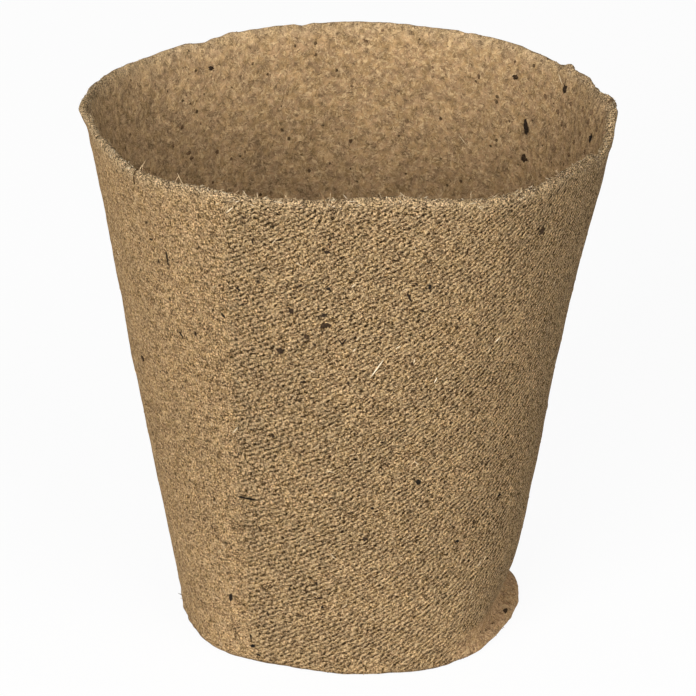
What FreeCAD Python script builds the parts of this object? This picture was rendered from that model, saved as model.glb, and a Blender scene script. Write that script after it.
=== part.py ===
import FreeCAD, Part
import math
import os

# Round peat pot: a tapered, free-standing planting pot felted from peat and wood fibre.
# It stands on z = 0 with +Z up. The origin is the foot of the drainage hole, at the pot's centre.
# The closing seam lies to the left of the front (-X, -Y). The dented side faces +X. Lengths are in mm.

# Overall size: the wall's outside radius at its rim and at its foot, and the mean height of the rim.
rim_radius = 40.3
foot_radius = 27.1
pot_height = 82.8

# The felt of the wall, its rounded rim and the cove left inside where it meets the base.
wall_thickness = 1.7
rim_crown = 0.8
rim_flare = 0.8
rim_flare_depth = 2.8
cove_width = 1.3
cove_height = 3.2

# The base disc: its edge is set in a little from the wall's foot and rounded above and below.
base_thickness = 2.0
base_edge_inset = 0.25
base_foot_round = 0.8
base_top_round = 1.0
drain_hole_radius = 4.0

# Handling has pushed the pot out of round: smooth swellings (+) and hollows (-) of the plan, the
# largest of which is this deep at the rim and at the foot. Each set dies out over a depth of its own.
rim_push = 1.7
rim_push_depth = 40.0
foot_push = 1.3
foot_push_depth = 30.0

# The +X side is flattened over most of its height, and its foot is pressed in past the disc's edge.
side_hollow = 1.55
side_hollow_top_share = 0.97
side_hollow_full_share = 0.61
foot_dent = 2.6
foot_dent_height = 12.5

# The rim is torn, not trimmed: it wanders up and down by this much.
rim_wave = 1.2

# Places of the hollow and the dent: azimuth from +X and half-width, in degrees.
side_hollow_place = (-4.0, 46.0)
foot_dent_place = (-15.0, 44.0)

# Pushes at the rim and at the foot, waves of the rim and flares of its lip, which a lesser share
# of the flare follows all round: azimuth, half-width, share of the size.
rim_push_shares = (
    (158.0, 30.0, 0.7),
    (-160.0, 28.0, -0.6),
    (-92.0, 24.0, -0.55),
    (-58.0, 32.0, 1.0),
    (12.0, 17.0, -0.5),
)
foot_push_shares = (
    (-140.0, 26.0, 0.7),
    (-107.0, 22.0, -0.6),
    (-57.0, 32.0, 1.0),
)
rim_wave_shares = (
    (180.0, 16.0, 1.0),
    (142.0, 12.0, -0.35),
    (124.0, 12.0, -0.25),
    (94.0, 30.0, 0.15),
    (38.0, 14.0, -0.45),
    (-2.0, 20.0, 1.0),
    (-58.0, 36.0, -0.85),
    (-112.0, 22.0, 0.25),
    (-140.0, 20.0, -0.2),
)
rim_flare_shares = (
    (180.0, 20.0, 0.8),
    (-2.0, 16.0, 0.3),
    (-60.0, 50.0, 0.3),
)
even_flare_share = 0.2

# Heights of the sections that the wall is drawn through, as shares of the wall's height.
outer_station_shares = (
    0.0, 0.03, 0.065, 0.11, 0.17, 0.25, 0.34, 0.43, 0.52, 0.61, 0.7, 0.79, 0.88, 0.95, 0.98, 1.0,
)
inner_station_shares = (
    0.0, 0.015, 0.04, 0.08, 0.16, 0.25, 0.34, 0.43, 0.52, 0.61, 0.7, 0.79, 0.88, 0.95, 1.0,
)

# Points on each section, and the steps in which the rim and the disc's edge are rounded.
section_points = 60
rim_round_shares = (0.1, 0.3, 0.7, 0.9)
edge_turn_shares = (0.0, 0.33, 0.67, 1.0)


def bump(angle, centre, half_width):
    """Smooth bump, from 0 to 1, about an azimuth. Angles are in degrees."""
    away = abs((angle - centre + 180.0) % 360.0 - 180.0)
    if away >= half_width:
        return 0.0
    return 0.5 + 0.5 * math.cos(math.pi * away / half_width)


def wander(angle, table):
    """Sum of a table's bumps at an azimuth, each by its own share."""
    return sum(share * bump(angle, centre, half_width) for centre, half_width, share in table)


def ramp(value):
    """Smooth step from 0 to 1 as the value goes from 0 to 1."""
    held = min(max(value, 0.0), 1.0)
    return held * held * (3.0 - 2.0 * held)


def rim_height(angle):
    """Height of the torn rim's shoulder at an azimuth."""
    return pot_height - rim_crown + rim_wave * wander(angle, rim_wave_shares)


def foot_offset(angle, height):
    """How far the pushes at the foot move the plan at a height, for the wall and the disc alike."""
    near_foot = ramp(1.0 - height / foot_push_depth)
    return near_foot * foot_push * wander(angle, foot_push_shares)


def outer_radius(angle, height):
    """Radius of the wall's outside at an azimuth and a height."""
    rise = (height - base_thickness) / (pot_height - base_thickness)
    radius = foot_radius + (rim_radius - foot_radius) * rise + foot_offset(angle, height)

    near_rim = ramp(1.0 + (height - pot_height) / rim_push_depth)
    radius += near_rim * rim_push * wander(angle, rim_push_shares)

    hollow_span = side_hollow_top_share - side_hollow_full_share
    near_hollow = ramp((side_hollow_top_share - height / pot_height) / hollow_span)
    radius -= near_hollow * side_hollow * bump(angle, *side_hollow_place)

    near_dent = max(1.0 - (height - base_thickness) / foot_dent_height, 0.0)
    radius -= near_dent ** 2 * foot_dent * bump(angle, *foot_dent_place)

    near_lip = max(1.0 - (rim_height(angle) - height) / rim_flare_depth, 0.0)
    flare = rim_flare * (even_flare_share + wander(angle, rim_flare_shares))
    return radius + near_lip ** 2 * flare


def inner_radius(angle, height):
    """Radius of the wall's inside: one felt thickness in, and a cove at the foot."""
    near_cove = max(1.0 - (height - base_thickness) / cove_height, 0.0)
    return outer_radius(angle, height) - wall_thickness - cove_width * near_cove ** 2


def ring(radius_at, height_at):
    """Closed smooth wire round the pot's axis, through one point every few degrees."""
    points = []
    for step in range(section_points):
        angle = 360.0 * step / section_points
        height = height_at(angle)
        radius = radius_at(angle, height)
        turn = math.radians(angle)
        points.append(FreeCAD.Vector(radius * math.cos(turn), radius * math.sin(turn), height))
    curve = Part.BSplineCurve()
    curve.interpolate(Points=points, PeriodicFlag=True)
    return Part.Wire([curve.toShape()])


def wall_ring(radius_at, share):
    """Ring of the wall at a share of its height, which follows the torn rim."""
    return ring(radius_at, lambda angle: base_thickness + share * (rim_height(angle) - base_thickness))


def closed_solid(rings, ends):
    """Solid of a skin drawn through rings, closed by flat faces at its ends."""
    skin = Part.makeLoft(rings, False, True)
    shell = Part.makeShell(skin.Faces + ends)
    shell.sewShape()
    return Part.makeSolid(shell)


def side_wall():
    """Felted wall: up the outside, over the rounded torn rim and down the inside to a flat foot."""
    outside = [wall_ring(outer_radius, share) for share in outer_station_shares]
    inside = [wall_ring(inner_radius, share) for share in reversed(inner_station_shares)]

    def crest_ring(inset_share):
        return ring(
            lambda angle, height: outer_radius(angle, rim_height(angle)) - inset_share * wall_thickness,
            lambda angle: rim_height(angle) + rim_crown * math.sin(math.pi * inset_share),
        )

    crest = [crest_ring(share) for share in rim_round_shares]
    foot = Part.makeFace([outside[0], inside[-1]], "Part::FaceMakerBullseye")
    return closed_solid(outside + crest + inside, [foot])


def base_disc():
    """Felted disc, rounded at its edge, with one drainage hole."""

    def edge_radius(angle):
        return foot_radius - base_edge_inset + foot_offset(angle, base_thickness)

    def edge_ring(round_size, low, turn_share):
        turn = math.pi / 2.0 * turn_share
        inset = round_size * (1.0 - math.cos(turn))
        rise = round_size * math.sin(turn)
        height = base_foot_round - rise if low else base_thickness - base_top_round + rise
        return ring(lambda angle, height: edge_radius(angle) - inset, lambda angle: height)

    low_edge = [edge_ring(base_foot_round, True, share) for share in reversed(edge_turn_shares)]
    high_edge = [edge_ring(base_top_round, False, share) for share in edge_turn_shares]
    disc = closed_solid(low_edge + high_edge, [Part.Face(low_edge[0]), Part.Face(high_edge[-1])])
    return disc.cut(Part.makeCylinder(drain_hole_radius, base_thickness))


def main():
    os.makedirs("parts", exist_ok=True)
    nodes = {
        "side_wall": side_wall(),
        "base_disc": base_disc(),
    }
    for name, shape in nodes.items():
        shape.exportStep("parts/" + name + ".step")
        print(name, "valid", shape.isValid(), "volume", round(shape.Volume, 1))


main()
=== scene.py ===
import math
import random

import bmesh
import bpy
from mathutils import Matrix, Vector, noise
from mathutils.bvhtree import BVHTree


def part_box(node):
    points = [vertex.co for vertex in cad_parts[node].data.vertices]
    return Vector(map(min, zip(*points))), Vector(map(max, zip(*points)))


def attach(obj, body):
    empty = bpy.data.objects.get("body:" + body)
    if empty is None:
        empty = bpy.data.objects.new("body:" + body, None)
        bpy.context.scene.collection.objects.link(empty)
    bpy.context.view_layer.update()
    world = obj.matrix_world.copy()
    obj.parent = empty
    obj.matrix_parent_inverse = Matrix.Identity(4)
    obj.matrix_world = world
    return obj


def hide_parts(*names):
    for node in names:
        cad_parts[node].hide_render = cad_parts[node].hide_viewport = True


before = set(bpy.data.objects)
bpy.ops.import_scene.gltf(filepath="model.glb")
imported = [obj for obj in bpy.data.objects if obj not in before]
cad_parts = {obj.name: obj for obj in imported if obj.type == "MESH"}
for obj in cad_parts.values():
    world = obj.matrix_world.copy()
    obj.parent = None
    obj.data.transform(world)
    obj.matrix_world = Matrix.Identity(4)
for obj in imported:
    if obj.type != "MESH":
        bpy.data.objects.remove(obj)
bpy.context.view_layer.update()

# The camera. It looks at the pot's middle from straight ahead and above, with a long lens.
# The pot's middle falls a little right of and below the middle of the picture.
mm = 0.001
picture_pixels = 696.0
focal_pixels = 3850.0
sensor_millimetres = 36.0
view_elevation = math.radians(24.5)
view_distance = 600.0 * mm
pot_middle = Vector((0.0, 0.0, 41.3 * mm))
pot_middle_pixel = (350.2, 359.0)

view_right = Vector((1.0, 0.0, 0.0))
view_up = Vector((0.0, math.sin(view_elevation), math.cos(view_elevation)))
view_back = Vector((0.0, -math.cos(view_elevation), math.sin(view_elevation)))
pixel_size = view_distance / focal_pixels
aim_right = (picture_pixels / 2.0 - pot_middle_pixel[0]) * pixel_size
aim_up = (pot_middle_pixel[1] - picture_pixels / 2.0) * pixel_size
aim = pot_middle + view_right * aim_right + view_up * aim_up


def put_in_scene(name, data):
    """New object that holds some data, linked to the scene."""
    made = bpy.data.objects.new(name, data)
    bpy.context.scene.collection.objects.link(made)
    return made


camera_data = bpy.data.cameras.new("long_lens")
camera_data.sensor_width = sensor_millimetres
camera_data.lens = sensor_millimetres * focal_pixels / picture_pixels
camera = put_in_scene("camera", camera_data)
camera.location = pot_middle + view_back * view_distance
camera.rotation_euler = (aim - camera.location).to_track_quat("-Z", "Y").to_euler()
bpy.context.view_layer.update()
bpy.context.scene.camera = camera


def pixel_ray(pixel):
    """Start and direction of the line of sight through a pixel of the picture."""
    across = pixel[0] - picture_pixels / 2.0
    down = pixel[1] - picture_pixels / 2.0
    turn = camera.matrix_world.to_3x3()
    return camera.location.copy(), (turn @ Vector((across, -down, -focal_pixels))).normalized()


# The side wall: one sheet of felted peat and wood fibre, wrapped to a tapered tube with a seam at the
# left of the front. Its outside carries the print of a woven cloth and laps the edge of the base disc
# except at the dent. Its inside is plain. Its torn rim is feathered, but full and pitted at the right.
wall_columns = 400
wall_outside_cuts = 152
wall_inside_cuts = 82
wall_crest_cuts = 9
wall_foot_cuts = 2
rim_row_crowding = 1.15
unit_thickness = 0.1

seam_top_angle = math.radians(-116.5)
seam_foot_angle = math.radians(-123.5)
wall_foot_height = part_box("side_wall")[0].z
disc_top_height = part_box("base_disc")[1].z
cast_reach = 60.0 * mm
cast_margin = 0.05 * mm
below_rim = 80.8 * mm
crest_step = 0.15 * mm
crest_steps = 12
crest_overreach = 0.6 * mm
crest_depth = 2.0 * mm
felt_thickness = 1.7 * mm
taper = 0.1634
taper_sine = math.sin(math.atan(taper))
second_cloth_turn = math.radians(19.0)
foot_radius = 27.1 * mm

rim_crown = 0.8 * mm
rim_lift = 0.25 * mm
feather_depth = 3.5 * mm
feather = 0.35 * mm
full_rim_share = 0.85
thin_crown_share = 0.3
crown_roundness = 0.7
corner_reach = 2.6 * mm
full_rim_angle = math.radians(-40.0)
full_rim_half_width = math.radians(85.0)
rough_rim_angle = math.radians(8.0)
rough_rim_half_width = math.radians(42.0)

lap_foot_height = 0.3 * mm
lap_round = 0.8 * mm
lap_inset = 0.45 * mm
lap_cover = 0.25 * mm
lap_reach = 7.0 * mm
ledge_angle = math.radians(-15.0)
ledge_half_width = math.radians(56.0)
lip_half_height = 0.95 * mm
lip_width = 0.9 * mm
lip_share = 0.28
lip_drop_share = 0.55
flat_share = 0.6
ledge_blend = 0.35 * mm
fillet_share = 0.62
fillet_least_height = 1.1 * mm
fillet_growth = 0.85
fillet_drop_share = 2.5
fillet_reach_share = 0.95
fillet_run_share = 0.55
slope_step = 1.0 * mm
notch_angle = math.radians(12.0)
notch_half_width = math.radians(35.0)
notch_depth = 3.4 * mm
notch_height = 11.5 * mm
edge_swell_angle = math.radians(-42.0)
edge_swell_half_width = math.radians(18.0)
edge_swell = 0.45 * mm
edge_pull_angle = math.radians(20.0)
edge_pull_half_width = math.radians(25.0)
edge_pull = 1.3 * mm

# Nicks (-) and tufts (+) of the torn rim, the rise of its front from the seam to the middle, and the
# low stretch at the right: azimuth and half-width in degrees, height in mm.
rim_nicks = (
    (127.0, 4.0, -0.35),
    (119.0, 3.0, 0.25),
    (101.0, 2.5, -0.35),
    (30.0, 2.5, 0.35),
    (34.0, 2.5, -0.2),
    (5.0, 1.6, 0.35),
    (-9.0, 2.5, -0.3),
    (-20.0, 4.0, -0.4),
    (-26.0, 4.0, 0.35),
    (181.0, 6.0, -0.85),
    (166.0, 5.0, 0.2),
    (-60.0, 36.0, 1.2),
    (-82.0, 24.0, 1.5),
    (-101.0, 18.0, 0.65),
    (-124.0, 24.0, 0.9),
    (-15.0, 14.0, -2.0),
    (-22.0, 16.0, -0.8),
)

# Corners where the rim is drawn out a little: azimuth and half-width in degrees, length in mm.
rim_corners = (
    (179.5, 8.0, 0.35),
    (179.5, 3.5, 0.5),
    (3.0, 7.0, 0.3),
    (3.0, 2.5, 0.35),
)


def surface_tree(mesh):
    """Search tree over a mesh, for casting rays at it."""
    return BVHTree.FromPolygons([v.co for v in mesh.vertices], [p.vertices for p in mesh.polygons])


wall_tree = surface_tree(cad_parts["side_wall"].data)
disc_tree = surface_tree(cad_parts["base_disc"].data)


def polar(angle, radius, height):
    """Point at an azimuth, a distance from the pot's axis and a height."""
    return Vector((radius * math.cos(angle), radius * math.sin(angle), height))


def outside_radius(tree, angle, height):
    """Radius at which a ray from outside meets the surface."""
    hit = tree.ray_cast(polar(angle, cast_reach, height), polar(angle, -1.0, 0.0))[0]
    return hit.xy.length


def inside_radius(tree, angle, height):
    """Radius at which a ray from the axis meets the surface."""
    hit = tree.ray_cast(Vector((0.0, 0.0, height)), polar(angle, 1.0, 0.0))[0]
    return hit.xy.length


def rim_top(angle):
    """Height of the solid's rim at an azimuth, found by rays cast down across its width."""
    near = outside_radius(wall_tree, angle, below_rim)
    tops = []
    for step in range(crest_steps):
        start = polar(angle, near + step * crest_step - crest_overreach, 2.0 * below_rim)
        hit = wall_tree.ray_cast(start, Vector((0.0, 0.0, -1.0)))[0]
        if hit and hit.z > below_rim - crest_depth:
            tops.append(hit.z)
    return max(tops)


def smooth_step(value):
    """Smooth step from 0 to 1 as the value goes from 0 to 1."""
    held = min(max(value, 0.0), 1.0)
    return held * held * (3.0 - 2.0 * held)


def bump_about(angle, centre, half_width):
    """Smooth bump, from 0 to 1, about an azimuth."""
    away = abs((angle - centre + math.pi) % math.tau - math.pi)
    return 0.5 + 0.5 * math.cos(math.pi * min(away / half_width, 1.0))


def ragged(place, sizes):
    """Noise at a place, summed over grain sizes with their heights."""
    return sum(height * noise.noise(place / grain) for grain, height in sizes)


def seam_angle(rise):
    """Azimuth of the seam at a share of the wall's height."""
    return seam_foot_angle + (seam_top_angle - seam_foot_angle) * rise


def table_height(table, angle):
    """Sum of a table's bumps at an azimuth."""
    turn = math.degrees(angle)
    return sum(
        size * mm * bump_about(math.radians(turn), math.radians(centre), math.radians(half_width))
        for centre, half_width, size in table
    )


def cloth_place(turn, height, crossed, second_cloth):
    """Place, in mm, on the flat cloth that was wrapped round the taper, at a turn from the seam. A
    second cloth, with its rows at another angle, covers the half before the seam."""
    slant = (foot_radius + taper * (height - wall_foot_height)) / taper_sine + crossed
    spread = turn * taper_sine
    if second_cloth:
        spread -= math.tau * taper_sine + second_cloth_turn
    return slant * math.sin(spread) / mm, slant * math.cos(spread) / mm


lumps_outside = ((11.0 * mm, 0.17 * mm), (4.2 * mm, 0.10 * mm), (1.7 * mm, 0.055 * mm))
foot_tears = ((1.7 * mm, 0.16 * mm), (0.9 * mm, 0.10 * mm))
lumps_inside = ((9.0 * mm, 0.17 * mm), (3.4 * mm, 0.14 * mm), (1.9 * mm, 0.06 * mm))


def wall_outside(angle, height):
    """Outside radius of the wall, round at its foot where it laps the disc, without the ledge."""
    held = min(max(height, wall_foot_height + cast_margin), below_rim)
    radius = outside_radius(wall_tree, angle, held) + max(height - below_rim, 0.0) * taper
    near_notch = max(1.0 - max(height - wall_foot_height, 0.0) / notch_height, 0.0)
    radius -= notch_depth * near_notch**2 * bump_about(angle, notch_angle, notch_half_width)
    if height < lap_round:
        low = 1.0 - height / lap_round
        radius -= lap_inset * (1.0 - math.sqrt(1.0 - low * low))
    return radius


def disc_edge(angle):
    """Radius of the disc's edge, which is drawn in at the far end of the dent."""
    edge = outside_radius(disc_tree, angle, 0.5 * disc_top_height)
    return edge - edge_pull * bump_about(angle, edge_pull_angle, edge_pull_half_width)


def ledge_drop(angle):
    """How far in from the disc's edge the dented wall meets the ledge, and the edge's radius."""
    edge = disc_edge(angle) + lap_cover
    edge += edge_swell * bump_about(angle, edge_swell_angle, edge_swell_half_width)
    return edge - wall_outside(angle, wall_foot_height), edge


def curve_point(corners, share):
    """Point a share of the way along a cubic curve with four corners."""
    back = 1.0 - share
    place = corners[0] * back**3 + corners[1] * 3.0 * back * back * share
    return place + (corners[2] * 3.0 * back * share * share + corners[3] * share**3)


def ledge_place(angle, drop, edge, share):
    """Radius and height, a share of the way up the lap's reach, where the felt runs out over the
    disc's edge: round the lip, in over the ledge, and up in a hollow to the dented wall."""
    lip_middle = lap_foot_height + lip_half_height
    lip_top = lap_foot_height + 2.0 * lip_half_height
    lip_inset = min(lip_width, lip_drop_share * drop)
    if share < lip_share:
        turn = math.pi * (share / lip_share - 0.5)
        inset = lap_inset if turn < 0.0 else lip_inset
        return edge - inset * (1.0 - math.cos(turn)), lip_middle + lip_half_height * math.sin(turn)
    width = drop - lip_inset
    rise_height = min(fillet_least_height, fillet_drop_share * drop) + fillet_growth * width
    top_height = min(lip_top + rise_height, fillet_reach_share * lap_reach)
    top_radius = wall_outside(angle, top_height)
    if share < fillet_share:
        along = (share - lip_share) / (fillet_share - lip_share)
        lean = (wall_outside(angle, top_height + slope_step) - top_radius) / slope_step
        run = fillet_run_share * (top_height - lip_top)
        corners = (
            Vector((edge - lip_inset, lip_top)),
            Vector((edge - lip_inset - flat_share * width, lip_top)),
            Vector((top_radius - lean * run, top_height - run)),
            Vector((top_radius, top_height)),
        )
        return tuple(curve_point(corners, along))
    along = (share - fillet_share) / (1.0 - fillet_share)
    height = top_height + along * (lap_reach - top_height)
    return wall_outside(angle, height), height


def turned_outline(corners, outline_cuts, columns):
    """Mesh of an outline with four corners, its sides cut evenly, turned once round the pot's axis."""
    shape = bmesh.new()
    outline = [shape.verts.new(corner) for corner in corners]
    sides = [shape.edges.new((outline[index - 1], outline[index])) for index in (1, 2, 3, 0)]
    for side, cuts in zip(sides, outline_cuts):
        bmesh.ops.subdivide_edges(shape, edges=[side], cuts=cuts)
    bmesh.ops.spin(
        shape,
        geom=shape.verts[:] + shape.edges[:],
        cent=(0.0, 0.0, 0.0),
        axis=(0.0, 0.0, 1.0),
        angle=math.tau,
        steps=columns,
        use_merge=True,
    )
    bmesh.ops.recalc_face_normals(shape, faces=shape.faces[:])
    return shape


def finished_object(shape, name):
    """Object of a mesh that is done, smooth all over and linked to the scene."""
    for face in shape.faces:
        face.smooth = True
    mesh = bpy.data.meshes.new(name)
    shape.to_mesh(mesh)
    shape.free()
    return put_in_scene(name, mesh)


unit_inside = 1.0 - unit_thickness
wall_shape = turned_outline(
    ((1.0, 0.0, 0.0), (1.0, 0.0, 1.0), (unit_inside, 0.0, 1.0), (unit_inside, 0.0, 0.0)),
    (wall_outside_cuts, wall_crest_cuts, wall_inside_cuts, wall_foot_cuts),
    wall_columns,
)

imprint_layer = wall_shape.verts.layers.float.new("imprint")
torn_layer = wall_shape.verts.layers.float.new("torn")
ledge_layer = wall_shape.verts.layers.float.new("ledge")
outward_layer = wall_shape.verts.layers.float.new("outward")
cloth_map = wall_shape.loops.layers.uv.new("cloth")
bake_map = wall_shape.loops.layers.uv.new("OFBake")
rim_noise_radius = 40.0 * mm
even_tear_share = 0.45
rough_tear_share = 0.75
even_crumble = 0.7
rough_crumble = 1.8
crumble_field = 50.0 * mm
torn_rise = 0.95
torn_growth = 3.5
rim_tears = ((8.0 * mm, 0.16 * mm), (3.0 * mm, 0.14 * mm), (1.5 * mm, 0.10 * mm))
rim_crumble = ((2.6 * mm, 0.15 * mm), (1.4 * mm, 0.15 * mm))
seam_groove = 0.07 * mm
seam_half_width = 0.6 * mm
seam_step = 0.10 * mm
seam_step_reach = 3.0 * mm
lip_groove_angle = math.radians(-68.0)
lip_groove_half_width = math.radians(34.0)
lip_groove_drop = 1.5 * mm
lip_groove_half_height = 0.5 * mm
lip_groove = 0.35 * mm
foot_tear_height = 1.6 * mm

# Where the cloth's print ends: at the ledge, just below the rim and at the foot. It is made
# faint from the back round to the seam.
ledge_print_gain = 2.4
ledge_print_top = 6.4 * mm
ledge_print_blend = 2.0 * mm
ledge_gain = 2.0
ledge_top = 6.0 * mm
ledge_top_blend = 2.2 * mm
bare_rim_depth = 0.8 * mm
bare_rim_share = 0.3
bare_foot_height = 1.4 * mm
faint_share = 0.75
faint_start = math.radians(189.0)
faint_blend = math.radians(90.0)

rim_tops = {}
places = {}
for vert in wall_shape.verts:
    turn = math.atan2(vert.co.y, vert.co.x) % math.tau
    column = round(turn / math.tau * wall_columns) % wall_columns
    turn = column * math.tau / wall_columns
    depth = min(max((1.0 - vert.co.xy.length) / unit_thickness, 0.0), 1.0)
    rise = 1.0 - (1.0 - min(vert.co.z, 1.0)) ** rim_row_crowding
    angle = seam_angle(rise) + turn
    if column not in rim_tops:
        rim_angle = seam_angle(1.0) + turn
        rough = bump_about(rim_angle, rough_rim_angle, rough_rim_half_width)
        tears = ragged(polar(rim_angle, rim_noise_radius, 0.0), rim_tears)
        tears *= even_tear_share + rough_tear_share * rough
        rim_tops[column] = rim_top(rim_angle) + rim_lift + tears + table_height(rim_nicks, rim_angle)
    between = 0.001 < depth < 0.999
    if between:
        kind = "crest" if rise > 0.5 else "under"
    else:
        kind = "outside" if depth < 0.5 else "inside"
    shoulder = rim_tops[column] - rim_crown
    foot = lap_foot_height if kind == "outside" else wall_foot_height
    height = foot + rise * (shoulder - foot)

    rough = bump_about(angle, rough_rim_angle, rough_rim_half_width)
    corner = table_height(rim_corners, angle) * smooth_step((height - shoulder) / corner_reach + 1.0)
    full = bump_about(angle, full_rim_angle, full_rim_half_width)
    near_lip = max(1.0 + (height - shoulder) / feather_depth, 0.0)
    thinned = (1.0 - full_rim_share * full) * feather * near_lip**2
    at_ledge = bump_about(angle, ledge_angle, ledge_half_width)
    outer = inner = 0.0
    if kind != "inside":
        outer = wall_outside(angle, height) + corner
        if kind == "outside" and at_ledge > 0.0 and height < lap_reach:
            drop, edge = ledge_drop(angle)
            if drop > 0.0:
                share = (height - lap_foot_height) / (lap_reach - lap_foot_height)
                spread, lifted = ledge_place(angle, drop, edge, share)
                held = smooth_step(drop / ledge_blend)
                outer += (spread - outer) * held
                height += (lifted - height) * held
        outer += ragged(polar(angle, outer, height), lumps_outside)
        if height < foot_tear_height:
            near_foot = 1.0 - height / foot_tear_height
            outer += near_foot * ragged(polar(angle, outer, height), foot_tears)
    if kind != "outside":
        held = min(max(height, wall_foot_height + cast_margin), below_rim)
        inner = inside_radius(wall_tree, angle, held) + max(height - below_rim, 0.0) * taper
        inner += ragged(polar(angle, inner, height), lumps_inside) + thinned + corner
    radius = outer + (inner - outer) * depth

    if kind == "outside":
        seam_away = min(turn, math.tau - turn) * outer
        groove = math.exp(-((seam_away / seam_half_width) ** 2)) * seam_groove
        side = 1.0 if turn < math.pi else -1.0
        radius += 0.5 * side * seam_step * math.exp(-seam_away / seam_step_reach) - groove
        lip_away = (shoulder - height - lip_groove_drop) / lip_groove_half_height
        at_lip = bump_about(angle, lip_groove_angle, lip_groove_half_width)
        radius -= lip_groove * at_lip * math.exp(-(lip_away**2))
        print_left = 1.0 - smooth_step(ledge_print_gain * at_ledge) * smooth_step(
            (ledge_print_top - height) / ledge_print_blend
        )
        print_left *= smooth_step((shoulder - height) / bare_rim_depth + bare_rim_share)
        print_left *= smooth_step(height / bare_foot_height)
        print_left *= 1.0 - faint_share * smooth_step((turn - faint_start) / faint_blend)
        vert[imprint_layer] = print_left
        low_down = smooth_step((ledge_top - height) / ledge_top_blend)
        vert[ledge_layer] = smooth_step(ledge_gain * at_ledge) * low_down
        vert[outward_layer] = 1.0
    elif kind == "crest":
        crown = rim_crown * (1.0 - thin_crown_share * (1.0 - full))
        height += crown * math.sin(math.pi * depth) ** crown_roundness
        vert[torn_layer] = 1.0
    elif kind == "under":
        height = lap_foot_height + (wall_foot_height - lap_foot_height) * depth
    if rise > torn_rise:
        near = (rise - torn_rise) / (1.0 - torn_rise)
        vert[torn_layer] = max(vert[torn_layer], near**torn_growth)
        crumble = near * (even_crumble + rough_crumble * rough)
        radius += crumble * ragged(polar(angle, radius, height), rim_crumble)
        height += crumble * ragged(polar(angle, radius, height + crumble_field), rim_crumble)
    places[vert] = (turn, height, depth, rise, kind)
    vert.co = polar(angle, radius, height)

# The bake map is a sheet: once round across, and the foot, outside, crest and inside upward.
foot_band = 0.01
face_band = 0.48
crest_start = 0.50
crest_band = 0.02
foot_width = 2.0 * mm
for face in wall_shape.faces:
    stands = [places[loop.vert] for loop in face.loops]
    kinds = {stand[4] for stand in stands}
    wraps = max(stand[0] for stand in stands) - min(stand[0] for stand in stands) > math.pi
    second_cloth = wraps or max(stand[0] for stand in stands) > 1.001 * math.pi
    for loop, (turn, height, depth, rise, kind) in zip(face.loops, stands):
        if wraps and turn < math.pi:
            turn += math.tau
        if "under" in kinds:
            crossed, bake_height = -depth * foot_width, foot_band * (1.0 - depth)
        elif "crest" in kinds:
            crossed, bake_height = depth * felt_thickness, crest_start + crest_band * depth
        elif "inside" in kinds:
            crossed = felt_thickness
            bake_height = crest_start + crest_band + face_band * (1.0 - rise)
        else:
            crossed, bake_height = 0.0, foot_band + face_band * rise
        loop[cloth_map].uv = cloth_place(turn, height, crossed, second_cloth)
        loop[bake_map].uv = (turn / math.tau, bake_height)

wall = finished_object(wall_shape, "side_wall_felt")
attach(wall, "root")
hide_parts("side_wall")


def add_node(tree, kind, inputs=(), **settings):
    """Adds a node, makes its settings, and fills or joins its inputs, given as (name, value) pairs."""
    made = tree.nodes.new(kind)
    for name, value in settings.items():
        setattr(made, name, value)
    for name, value in inputs:
        socket = made.inputs[name]
        if isinstance(value, bpy.types.NodeSocket):
            tree.links.new(value, socket)
        else:
            socket.default_value = value
    return made


def calculate(tree, operation, first, second=0.0, third=0.0):
    """Output of one math node."""
    pairs = ((0, first), (1, second), (2, third))
    return add_node(tree, "ShaderNodeMath", pairs, operation=operation).outputs[0]


def multiply(tree, first, second):
    """Product of two values."""
    return calculate(tree, "MULTIPLY", first, second)


def vector_math(tree, operation, first, second=(0.0, 0.0, 0.0)):
    """Output of one vector math node."""
    return add_node(tree, "ShaderNodeVectorMath", ((0, first), (1, second)), operation=operation).outputs[0]


def new_group(name, inputs, outputs):
    """Node group with named sockets: (name, kind, default). Gives the tree, its input and output nodes."""
    tree = bpy.data.node_groups.new(name, "ShaderNodeTree")
    for label, kind, default in inputs:
        socket = tree.interface.new_socket(label, in_out="INPUT", socket_type=kind)
        if default is not None:
            socket.default_value = default
    for label, kind in outputs:
        tree.interface.new_socket(label, in_out="OUTPUT", socket_type=kind)
    return tree, tree.nodes.new("NodeGroupInput"), tree.nodes.new("NodeGroupOutput")


# Print of a coarse woven cloth: rows of short slanted stitches, each row set off from the last. The
# rows sway and the stitches are uneven, as the wet felt took them.
imprint_group, given, result = new_group(
    "cloth print",
    (
        ("Place", "NodeSocketVector", None),
        ("Row Angle", "NodeSocketFloat", math.radians(28.6)),
        ("Row Pitch", "NodeSocketFloat", 0.74),
        ("Stitch Length", "NodeSocketFloat", 1.3),
        ("Sway", "NodeSocketFloat", 0.8),
        ("Unevenness", "NodeSocketFloat", 0.34),
        ("Slant", "NodeSocketFloat", 0.07),
    ),
    (("Height", "NodeSocketFloat"), ("Strokes", "NodeSocketFloat")),
)


def cloth_noise(source, scale, detail, roughness=0.5):
    """Noise over the flat cloth."""
    pairs = (("Vector", source), ("Scale", scale), ("Detail", detail), ("Roughness", roughness))
    return add_node(imprint_group, "ShaderNodeTexNoise", pairs, noise_dimensions="2D")


def swayed(source, scale, size):
    """Place on the cloth, moved about by noise."""
    centred = vector_math(
        imprint_group, "SUBTRACT", cloth_noise(source, scale, 1.0).outputs["Color"], (0.5, 0.5, 0.5)
    )
    pairs = ((0, centred), ("Scale", size))
    shift = add_node(imprint_group, "ShaderNodeVectorMath", pairs, operation="SCALE").outputs[0]
    return vector_math(imprint_group, "ADD", source, shift)


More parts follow.
